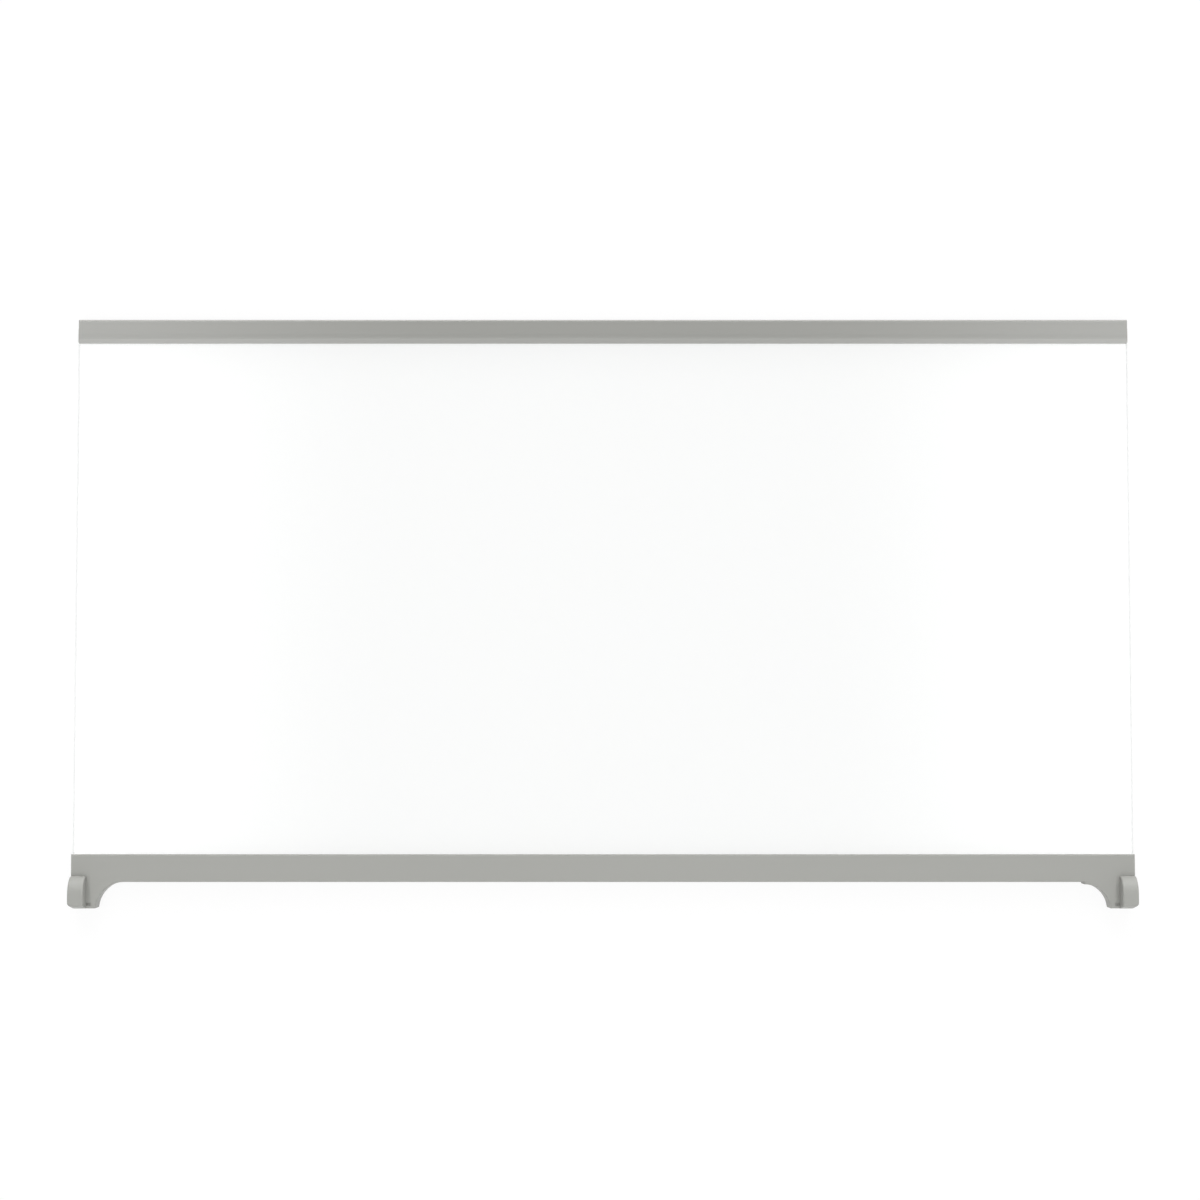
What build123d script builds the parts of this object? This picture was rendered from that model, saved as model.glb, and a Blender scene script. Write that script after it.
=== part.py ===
from build123d import *

import os

# Refrigerator shelf: a toughened glass pane, gripped along its front edge by a moulded trim with two
# forward legs and retaining lugs, and along its rear edge by an extruded trim.
# Millimetres. X runs across the shelf, +Y to its rear and +Z up. The origin is the middle of the shelf's
# footprint, on the surface that it lies on.

# Shelf; the front trim is as long as the pane is wide
glass_width = 501.4
shelf_depth = 267.0  # back of the rear trim to the front of the front bar

# Pane
glass_thickness = 4.0
glass_edge_chamfer = 0.5
glass_corner_radius = 2.0

# Channel that grips the pane, alike in both trims
lip_thickness = 2.0
glass_clearance = 0.2  # between a lip and the pane's face, taken up by the grips
glass_end_gap = 0.3  # between a web and the pane's edge
mouth_lead_in = 0.4
lower_lip_setback = 1.5  # the lower lip is that much narrower than the upper one

# Rear trim, extruded
rear_trim_inset = 0.7  # each end, short of the pane
rear_trim_width = 11.4
rear_web = 2.0
rear_slope_width = 4.5  # the part of the upper lip that curves down to the pane
rear_lip_edge = 1.0  # thickness of the upper lip at its mouth
rear_back_radius = 1.0
bead_base = 1.4
bead_crest = 0.6
bead_setback = 1.5  # from the lower lip's mouth to the middle of the first bead
bead_spacing = 4.0
beads_per_lip = 2

# Front trim, moulded
front_bar_width = 13.0
front_web = 2.5
edge_radius = 0.6
underside_radius = 0.3
crush_rib_width = 1.5
crush_rib_pitch = 40.0
crush_rib_setback = 1.5  # from the lower lip's mouth to the end of a rib

# Legs, one at each end of the front bar
leg_length = 12.4  # forward of the bar
leg_tip_width = 11.8
leg_tip_radius = 0.4
leg_wall = 1.4
leg_skin = 2.0
arch_overrun = 0.8  # from the leg's front to the arch's centre, ahead of it
right_ledge = 1.1  # step at the start of the right arch

# Retaining lugs, one on each leg
lug_width = 7.4
lug_height = 7.5  # above the trim
lug_run_back = 2.8  # over the bar, behind the leg
lug_rake = 1.5  # the front leans back by that much over its height
lug_heel = 2.0  # upright face behind the ramp, as far as its rounded corner
heel_radius = 1.0
ramp_run = 8.1  # from the flat top to the heel
lug_corner_radius = 1.8
recess_width = 2.2
recess_length = 1.3
recess_depth = 0.6

# Heights
channel_height = glass_thickness + 2 * glass_clearance
channel_top = lip_thickness + channel_height
trim_height = channel_top + lip_thickness
glass_bottom = lip_thickness + glass_clearance
glass_top = glass_bottom + glass_thickness
lug_top = trim_height + lug_height
heel_top = trim_height + lug_heel

# Places across and along the shelf
front_end = glass_width / 2
rear_end = glass_width / 2 - rear_trim_inset
rear_back = (shelf_depth + leg_length) / 2
rear_mouth = rear_back - rear_trim_width
bar_front = rear_back - shelf_depth
bar_mouth = bar_front + front_bar_width
leg_front = bar_front - leg_length
leg_inner = front_end - leg_tip_width
lug_inner = front_end - lug_width
lug_foot = bar_front + lug_run_back
lug_crest = lug_foot - ramp_run  # where the flat top turns into the ramp
edge_margin = 0.01  # for telling edges and faces apart


def box_face(low, high):
    """Rectangle between two opposite corners of the drawing plane."""
    width, height = high[0] - low[0], high[1] - low[1]
    return Pos(*low) * Rectangle(width, height, align=(Align.MIN, Align.MIN))


def along_x(profile, x_low, x_high):
    """Solid of a profile drawn in Y and Z, from one X to another."""
    return extrude(Plane.YZ.offset(x_low) * profile, x_high - x_low)


def upright(plan, z_low, z_high):
    """Solid of a plan drawn in X and Y, from one height to another."""
    return extrude(Pos(0, 0, z_low) * plan, z_high - z_low)


def at_both_ends(right_hand):
    """A right-hand feature and its mirror image."""
    return [right_hand, mirror(right_hand, about=Plane.YZ)]


def channel_profile(mouth, web, inward):
    """Slot for the pane, flared at its mouth. Inward is the sign of Y from the mouth to the web."""
    flare = mouth + inward * mouth_lead_in
    lower_mouth = mouth + inward * lower_lip_setback
    lower_flare = lower_mouth + inward * mouth_lead_in
    outline = Polyline(
        (mouth, 0),
        (lower_mouth, 0),
        (lower_mouth, lip_thickness - mouth_lead_in),
        (lower_flare, lip_thickness),
        (web, lip_thickness),
        (web, channel_top),
        (flare, channel_top),
        (mouth, channel_top + mouth_lead_in),
        close=True,
    )
    return make_face(outline)


def glass_pane():
    """Flat pane with round corners and arrised edges."""
    front = bar_front + front_web + glass_end_gap
    rear = rear_back - rear_web - glass_end_gap
    plan = Pos(0, (front + rear) / 2) * RectangleRounded(glass_width, rear - front, glass_corner_radius)
    pane = upright(plan, glass_bottom, glass_top)
    rims = pane.faces().filter_by(Axis.Z).edges()
    return chamfer(rims, glass_edge_chamfer)


def grip_bead(middle, lip_face, glass_face):
    """Section of a bead that runs along a lip and bears on the pane."""
    outline = Polyline(
        (middle - bead_base / 2, lip_face),
        (middle - bead_crest / 2, glass_face),
        (middle + bead_crest / 2, glass_face),
        (middle + bead_base / 2, lip_face),
        close=True,
    )
    return make_face(outline)


def rear_trim():
    """Extruded channel whose upper lip curves down to the pane."""
    slope_start = rear_mouth + rear_slope_width
    lip_edge_top = channel_top + rear_lip_edge
    outline = [
        Polyline((rear_mouth, lip_edge_top), (rear_mouth, 0), (rear_back, 0)),
        Polyline((rear_back, 0), (rear_back, trim_height), (slope_start, trim_height)),
        TangentArc((slope_start, trim_height), (rear_mouth, lip_edge_top), tangent=(-1, 0)),
    ]
    profile = make_face(outline)
    back_corners = profile.vertices().group_by(Axis.X)[-1]
    profile = fillet(back_corners, rear_back_radius)
    profile -= channel_profile(rear_mouth, rear_back - rear_web, inward=1)
    for bead in range(beads_per_lip):
        middle = rear_mouth + lower_lip_setback + bead_setback + bead * bead_spacing
        profile += grip_bead(middle, lip_thickness, glass_bottom)
        profile += grip_bead(middle, channel_top, glass_top)
    return along_x(profile, -rear_end, rear_end)


def arch_radius(ledge):
    """Radius of the arch beside the right leg, which starts below a ledge."""
    return leg_length + arch_overrun - ledge


def under_arch(ledge, wall):
    """Round space beside the right leg, widened by a wall."""
    radius = arch_radius(ledge)
    return Pos(leg_inner - radius, leg_front - arch_overrun) * Circle(radius + wall)


def leg_plan(ledge):
    """Right leg seen from above, with its arch."""
    leg = box_face((leg_inner - arch_radius(ledge), leg_front), (front_end, bar_front))
    leg -= under_arch(ledge, wall=0)
    inner_tip = leg.vertices().group_by(Axis.Y)[0].sort_by(Axis.X)[0]
    return fillet(inner_tip, leg_tip_radius)


def lug():
    """Right lug: a block with a blunt, raked front and a round ramp that falls to a heel at the rear."""
    outline = [
        Polyline((lug_crest, lug_top), (leg_front + lug_rake, lug_top), (leg_front, trim_height)),
        Polyline((leg_front, trim_height), (leg_front, channel_top), (lug_foot, channel_top)),
        Polyline((lug_foot, channel_top), (lug_foot, heel_top)),
        TangentArc((lug_crest, lug_top), (lug_foot, heel_top), tangent=(1, 0)),
    ]
    profile = make_face(outline)
    heel_corner = profile.vertices().group_by(Axis.X)[-1].sort_by(Axis.Y)[-1]
    return along_x(fillet(heel_corner, heel_radius), lug_inner, front_end)


def beside_lug(edge):
    """Whether an edge of the trim's top runs along the foot of a lug."""
    middle = edge.center()
    return abs(middle.X) > lug_inner - edge_margin and middle.Y < lug_foot + edge_margin


def over_lug(face):
    """Whether a face is the top, the ramp or the heel of a lug."""
    middle = face.center()
    behind_front = middle.Z > trim_height and middle.Y > leg_front + lug_rake
    return behind_front and abs(face.normal_at().X) < edge_margin


def at_outer_corner(edge):
    """Whether an edge stands at the outer front corner of a leg or of its lug."""
    middle = edge.center()
    return abs(middle.X) > front_end - edge_margin and middle.Y < leg_front + lug_rake


def moulded_outside():
    """Bar, legs and lugs in one, with rounded tips and edges."""
    plan = box_face((-front_end, bar_front), (front_end, bar_mouth))
    plan += leg_plan(right_ledge)
    plan += mirror(leg_plan(0), about=Plane.YZ)
    block = upright(plan, 0, trim_height) + at_both_ends(lug())
    block = fillet(block.edges().filter_by(at_outer_corner), lug_corner_radius)

    deck = block.faces().filter_by(Axis.Z).group_by(Axis.Z)[1]
    lug_edges = block.faces().filter_by(over_lug).edges()
    rims = lug_edges.filter_by(Axis.X).group_by(Axis.Y)[0]
    rims += lug_edges.filter_by(Axis.X, reverse=True)
    rims += deck.edges().filter_by(beside_lug, reverse=True)
    block = fillet(rims, edge_radius)
    return fillet(block.faces().sort_by(Axis.Z)[0].edges(), underside_radius)


def lug_core():
    """Hollow inside the right lug, open below."""
    front = leg_front + lug_rake + leg_wall
    ceiling = lug_top - leg_wall
    ramp_rise = lug_top - heel_top
    ramp_radius = (ramp_run**2 + ramp_rise**2) / (2 * ramp_rise)
    straight = box_face((front, 0), (lug_crest, ceiling))
    curved = Pos(lug_crest, lug_top - ramp_radius) * Circle(ramp_radius - leg_wall)
    reach = box_face((front, 0), (bar_front, ceiling))
    return along_x((straight + curved) & reach, lug_inner + leg_wall, front_end - leg_wall)


def leg_core(ledge):
    """Hollow under the right leg, open below."""
    low = (leg_inner - arch_radius(ledge), leg_front + leg_wall)
    plan = box_face(low, (front_end - leg_wall, bar_front)) - under_arch(ledge, leg_wall)
    return upright(plan, 0, trim_height - leg_skin)


def recess():
    """Shallow recess in the top of the right leg, beside the front of its lug."""
    front = leg_front + leg_wall
    plan = box_face((lug_inner - recess_width, front), (lug_inner, front + recess_length))
    return upright(plan, trim_height - recess_depth, trim_height)


def crush_ribs():
    """Short ribs across both lips of the front channel that bear on the pane."""
    front = bar_front + front_web
    rear = bar_mouth - lower_lip_setback - crush_rib_setback
    bays = int((glass_width - crush_rib_width) // crush_rib_pitch)
    ribs = []
    for station in range(bays + 1):
        middle = (station - bays / 2) * crush_rib_pitch
        plan = box_face((middle - crush_rib_width / 2, front), (middle + crush_rib_width / 2, rear))
        ribs.append(upright(plan, lip_thickness, glass_bottom))
        ribs.append(upright(plan, glass_top, channel_top))
    return ribs


def front_trim():
    """Moulded bar with its channel, and at each end a hollow leg that carries a hollow lug."""
    trim = moulded_outside()
    trim -= along_x(channel_profile(bar_mouth, bar_front + front_web, inward=-1), -front_end, front_end)
    trim -= [leg_core(right_ledge), mirror(leg_core(0), about=Plane.YZ)]
    trim -= at_both_ends(lug_core())
    trim -= at_both_ends(recess())
    return trim + crush_ribs()


os.makedirs("parts", exist_ok=True)
for make in (glass_pane, front_trim, rear_trim):
    export_step(make(), f"parts/{make.__name__}.step")
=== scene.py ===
import math

import bpy
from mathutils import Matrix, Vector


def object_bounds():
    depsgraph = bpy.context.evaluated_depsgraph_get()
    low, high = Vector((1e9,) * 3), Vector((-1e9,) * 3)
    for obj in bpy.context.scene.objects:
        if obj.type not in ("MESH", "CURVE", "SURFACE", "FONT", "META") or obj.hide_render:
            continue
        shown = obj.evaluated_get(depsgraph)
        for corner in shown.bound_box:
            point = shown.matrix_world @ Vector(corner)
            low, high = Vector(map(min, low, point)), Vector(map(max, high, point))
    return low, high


# Looks of the refrigerator shelf: grey plastic trims and a clear pane, seen from above on a white floor.
# Metres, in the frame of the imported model.

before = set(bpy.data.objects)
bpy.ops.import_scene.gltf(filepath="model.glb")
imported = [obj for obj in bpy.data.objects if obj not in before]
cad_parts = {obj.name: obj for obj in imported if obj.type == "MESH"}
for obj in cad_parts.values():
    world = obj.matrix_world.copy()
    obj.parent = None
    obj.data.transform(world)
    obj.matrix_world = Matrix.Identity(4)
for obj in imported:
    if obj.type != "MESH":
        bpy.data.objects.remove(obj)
cad_low, cad_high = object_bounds()

# Camera, as in the photograph: above the shelf and a little to its front
CAMERA_PLACE = (-0.0014, -0.0523, 1.097)
CAMERA_TILT = math.radians(3.05)
CAMERA_LENS = 69.0  # mm
CAMERA_SENSOR = 36.0  # mm

# Surroundings
SKY_ZENITH = 0.2
SKY_HORIZON = 0.26

# Two strip lights overhead: each edge from its dark side to its bright one, as distances over a height
STRIP_INNER = (0.09, 0.26)
STRIP_OUTER = (0.4, 0.3)
STRIP_FRONT = (-1.2, -0.9)
STRIP_REAR = (1.2, 0.9)
STRIP_RADIANCE = 2.75
LEAST_HEIGHT = 0.05  # of a direction, so that nothing is divided by zero at the horizon

# Round lamps far away: bearing from +X, angle from overhead, angle from the middle to where the even disk
# ends and to where its faded rim ends, all in degrees, and radiance
LAMPS = (
    (270, 26, 8, 22, 1.5),
    (270, 78, 20, 48, 1.1),
    (90, 78, 20, 42, 3.4),
    (0, 75, 20, 45, 0.7),
    (180, 75, 20, 45, 0.35),
)

# Floor
FLOOR_SIZE = 12.0
FLOOR_SHADOW = 0.12  # share of the floor's look that takes light and shadow

# Plastic; colours are linear
FRONT_GREY = (0.325, 0.327, 0.307)
REAR_GREY = (0.317, 0.318, 0.3)
FRONT_ROUGHNESS = 0.5
REAR_ROUGHNESS = 0.15
FRONT_GRAIN = 0.00003  # depth
REAR_GRAIN = 0.000001
PLASTIC_IOR = 1.54
COLOUR_SPREAD = 0.025  # share of the colour, either way
ROUGHNESS_SPREAD = 0.05  # either way
GRAIN_STRENGTH = 0.6

# Glass
GLASS_FACE = (0.995, 1.0, 0.997)
GLASS_EDGE = (0.975, 0.99, 0.985)
GLASS_SHADOW = (0.96, 0.97, 0.965)  # what is left of the light that falls through
GLASS_IOR = 1.52
EDGE_LIMIT = 0.95  # a face belongs to the edges if its normal is less upright than that
EDGE_ROUGHNESS = (0.15, 0.3)
WAVE_DEPTH = 0.00002
WAVE_STRENGTH = 0.2


def new_material(name):
    """An empty material with a Principled shader: the material, its node tree and the shader."""
    material = bpy.data.materials.new(name)
    material.use_nodes = True
    tree = material.node_tree
    tree.nodes.clear()
    shader = tree.nodes.new("ShaderNodeBsdfPrincipled")
    output = tree.nodes.new("ShaderNodeOutputMaterial")
    tree.links.new(shader.outputs["BSDF"], output.inputs["Surface"])
    return material, tree, shader


def add_node(tree, kind, **values):
    """A node of that kind with some of its inputs set, where underscores stand for spaces."""
    node = tree.nodes.new(kind)
    for name, value in values.items():
        node.inputs[name.replace("_", " ")].default_value = value
    return node


def math_node(tree, operation, first, second=0):
    """Result of a Math node; each operand is a socket or a number."""
    node = tree.nodes.new("ShaderNodeMath")
    node.operation = operation
    for slot, operand in enumerate((first, second)):
        if isinstance(operand, (int, float)):
            node.inputs[slot].default_value = operand
        else:
            tree.links.new(operand, node.inputs[slot])
    return node.outputs["Value"]


def noise(tree, scale, detail, stretch=(1, 1, 1)):
    """Noise from 0 to 1 in the object's own coordinates, finer along an axis with a larger stretch."""
    place = tree.nodes.new("ShaderNodeTexCoord")
    mapping = add_node(tree, "ShaderNodeMapping", Scale=stretch)
    texture = add_node(tree, "ShaderNodeTexNoise", Scale=scale, Detail=detail)
    tree.links.new(place.outputs["Object"], mapping.inputs["Vector"])
    tree.links.new(mapping.outputs["Vector"], texture.inputs["Vector"])
    return texture.outputs["Fac"]


def ranged(tree, value, low, high):
    """A 0 to 1 value spread over another range."""
    node = add_node(tree, "ShaderNodeMapRange", To_Min=low, To_Max=high)
    tree.links.new(value, node.inputs["Value"])
    return node.outputs["Result"]


def blended(tree, value, first, second):
    """A colour between two, by a 0 to 1 value."""
    mix = tree.nodes.new("ShaderNodeMix")
    mix.data_type = "RGBA"
    mix.inputs["A"].default_value = (*first, 1)
    mix.inputs["B"].default_value = (*second, 1)
    tree.links.new(value, mix.inputs["Factor"])
    return mix.outputs["Result"]


def shaded(tree, colour, value, spread):
    """A colour made lighter or darker by a 0 to 1 value."""
    darker = [channel * (1 - spread) for channel in colour]
    lighter = [channel * (1 + spread) for channel in colour]
    return blended(tree, value, darker, lighter)


def mixed(tree, share, first, second):
    """A shader between two, by the share of the second."""
    mix = tree.nodes.new("ShaderNodeMixShader")
    tree.links.new(share, mix.inputs["Fac"])
    tree.links.new(first, mix.inputs[1])
    tree.links.new(second, mix.inputs[2])
    return mix.outputs["Shader"]


def add_relief(tree, shader, relief, strength, depth):
    """Gives a shader a fine relief, from 0 to 1 times its depth."""
    bump = add_node(tree, "ShaderNodeBump", Strength=strength, Distance=depth)
    tree.links.new(relief, bump.inputs["Height"])
    tree.links.new(bump.outputs["Normal"], shader.inputs["Normal"])


def plastic(name, colour, roughness, grain_depth):
    """Moulded or extruded grey plastic: cloudy colour, uneven gloss and a fine grain."""
    material, tree, shader = new_material(name)
    clouds = noise(tree, scale=18, detail=3, stretch=(0.4, 1, 1))
    flow = noise(tree, scale=60, detail=2, stretch=(0.1, 1, 1))
    grain = noise(tree, scale=3500, detail=2)
    tree.links.new(shaded(tree, colour, clouds, COLOUR_SPREAD), shader.inputs["Base Color"])
    gloss = ranged(tree, flow, roughness - ROUGHNESS_SPREAD, roughness + ROUGHNESS_SPREAD)
    tree.links.new(gloss, shader.inputs["Roughness"])
    shader.inputs["IOR"].default_value = PLASTIC_IOR
    add_relief(tree, shader, grain, GRAIN_STRENGTH, grain_depth)
    return material


def clear_glass():
    """Toughened glass: polished faces with a slight roller wave, ground edges, and shadows that stay pale."""
    material, tree, shader = new_material("clear_glass")
    shader.inputs["Transmission Weight"].default_value = 1
    shader.inputs["IOR"].default_value = GLASS_IOR

    geometry = tree.nodes.new("ShaderNodeNewGeometry")
    normal = tree.nodes.new("ShaderNodeSeparateXYZ")
    tree.links.new(geometry.outputs["True Normal"], normal.inputs["Vector"])
    upright = math_node(tree, "ABSOLUTE", normal.outputs["Z"])
    on_edge = math_node(tree, "LESS_THAN", upright, EDGE_LIMIT)
    tree.links.new(blended(tree, on_edge, GLASS_FACE, GLASS_EDGE), shader.inputs["Base Color"])
    grinding = ranged(tree, noise(tree, scale=2500, detail=2), *EDGE_ROUGHNESS)
    tree.links.new(math_node(tree, "MULTIPLY", on_edge, grinding), shader.inputs["Roughness"])

    wave = noise(tree, scale=12, detail=1, stretch=(0.3, 1, 1))
    add_relief(tree, shader, wave, WAVE_STRENGTH, WAVE_DEPTH)

    rays = tree.nodes.new("ShaderNodeLightPath")
    lamp_or_bounce = math_node(tree, "MAXIMUM", rays.outputs["Is Shadow Ray"], rays.outputs["Is Diffuse Ray"])
    through = add_node(tree, "ShaderNodeBsdfTransparent", Color=(*GLASS_SHADOW, 1))
    surface = mixed(tree, lamp_or_bounce, shader.outputs["BSDF"], through.outputs["BSDF"])
    tree.links.new(surface, tree.get_output_node("ALL").inputs["Surface"])
    return material


def dress(node, material):
    """Gives a CAD node its material."""
    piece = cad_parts[node]
    piece.data.materials.clear()
    piece.data.materials.append(material)


def white_floor():
    """Floor that shows white wherever it is seen, and keeps a pale shadow."""
    bpy.ops.mesh.primitive_plane_add(size=FLOOR_SIZE, location=(0, 0, cad_low.z))
    floor = bpy.context.object
    floor.name = "floor"
    material, tree, shader = new_material("floor_white")
    shader.inputs["Base Color"].default_value = (1, 1, 1, 1)
    shader.inputs["Roughness"].default_value = 1
    shader.inputs["Specular IOR Level"].default_value = 0
    rays = tree.nodes.new("ShaderNodeLightPath")
    seen = math_node(tree, "MAXIMUM", rays.outputs["Is Camera Ray"], rays.outputs["Is Glossy Ray"])
    seen = math_node(tree, "MAXIMUM", seen, rays.outputs["Is Transmission Ray"])
    glow = add_node(tree, "ShaderNodeEmission", Strength=1)
    glow_share = math_node(tree, "MULTIPLY", seen, 1 - FLOOR_SHADOW)
    surface = mixed(tree, glow_share, shader.outputs["BSDF"], glow.outputs["Emission"])
    tree.links.new(surface, tree.get_output_node("ALL").inputs["Surface"])
    floor.data.materials.append(material)


def faded(tree, value, dark, bright):
    """Soft edge of a light, from 0 at a dark value to 1 at a bright one."""
    fade = add_node(tree, "ShaderNodeMapRange", From_Min=dark, From_Max=bright)
    fade.interpolation_type = "SMOOTHSTEP"
    tree.links.new(value, fade.inputs["Value"])
    return fade.outputs["Result"]


def lamp_glow(tree, direction, bearing, slant, even, rim, radiance):
    """Light from a round lamp far away, even in the middle and faded at its rim; angles in degrees."""
    across = math.sin(math.radians(slant))
    towards = tree.nodes.new("ShaderNodeVectorMath")
    towards.operation = "DOT_PRODUCT"
    towards.inputs[1].default_value = (
        across * math.cos(math.radians(bearing)),
        across * math.sin(math.radians(bearing)),
        math.cos(math.radians(slant)),
    )
    tree.links.new(direction, towards.inputs[0])
    glow = faded(tree, towards.outputs["Value"], math.cos(math.radians(rim)), math.cos(math.radians(even)))
    return math_node(tree, "MULTIPLY", glow, radiance)


def strip_glow(tree, direction):
    """Light from two strip lights overhead, along the left and the right of the shelf."""
    height = math_node(tree, "MAXIMUM", direction.outputs["Z"], LEAST_HEIGHT)
    sideways = math_node(tree, "ABSOLUTE", direction.outputs["X"])
    across = math_node(tree, "DIVIDE", sideways, height)
    along = math_node(tree, "DIVIDE", direction.outputs["Y"], height)
    glow = STRIP_RADIANCE
    for place, edge in (
        (across, STRIP_INNER),
        (across, STRIP_OUTER),
        (along, STRIP_FRONT),
        (along, STRIP_REAR),
    ):
        glow = math_node(tree, "MULTIPLY", faded(tree, place, *edge), glow)
    return glow


def studio_light():
    """Surroundings that are paler near the horizon, with soft lamps; white wherever they are seen."""
    world = bpy.data.worlds.new("studio")
    bpy.context.scene.world = world
    world.use_nodes = True
    tree = world.node_tree
    tree.nodes.clear()
    place = tree.nodes.new("ShaderNodeTexCoord")
    direction = tree.nodes.new("ShaderNodeSeparateXYZ")
    tree.links.new(place.outputs["Generated"], direction.inputs["Vector"])
    height = math_node(tree, "MAXIMUM", direction.outputs["Z"], 0)
    lowness = math_node(tree, "POWER", math_node(tree, "SUBTRACT", 1, height), 2)
    strength = ranged(tree, lowness, SKY_ZENITH, SKY_HORIZON)
    strength = math_node(tree, "ADD", strength, strip_glow(tree, direction))
    for lamp in LAMPS:
        strength = math_node(tree, "ADD", strength, lamp_glow(tree, place.outputs["Generated"], *lamp))
    rays = tree.nodes.new("ShaderNodeLightPath")
    seen = math_node(tree, "MAXIMUM", rays.outputs["Is Camera Ray"], rays.outputs["Is Transmission Ray"])
    sky = add_node(tree, "ShaderNodeBackground", Color=(1, 1, 1, 1))
    tree.links.new(strength, sky.inputs["Strength"])
    white = add_node(tree, "ShaderNodeBackground", Color=(1, 1, 1, 1))
    surface = mixed(tree, seen, sky.outputs["Background"], white.outputs["Background"])
    output = tree.nodes.new("ShaderNodeOutputWorld")
    tree.links.new(surface, output.inputs["Surface"])


def camera():
    """The photograph's camera."""
    data = bpy.data.cameras.new("camera")
    data.lens = CAMERA_LENS
    data.sensor_width = CAMERA_SENSOR
    view = bpy.data.objects.new("camera", data)
    view.location = CAMERA_PLACE
    view.rotation_euler = (CAMERA_TILT, 0, 0)
    bpy.context.collection.objects.link(view)
    bpy.context.scene.camera = view


dress("front_trim", plastic("moulded_grey", FRONT_GREY, FRONT_ROUGHNESS, FRONT_GRAIN))
dress("rear_trim", plastic("extruded_grey", REAR_GREY, REAR_ROUGHNESS, REAR_GRAIN))
dress("glass_pane", clear_glass())
white_floor()
studio_light()
camera()
bpy.context.scene.view_settings.view_transform = "Standard"
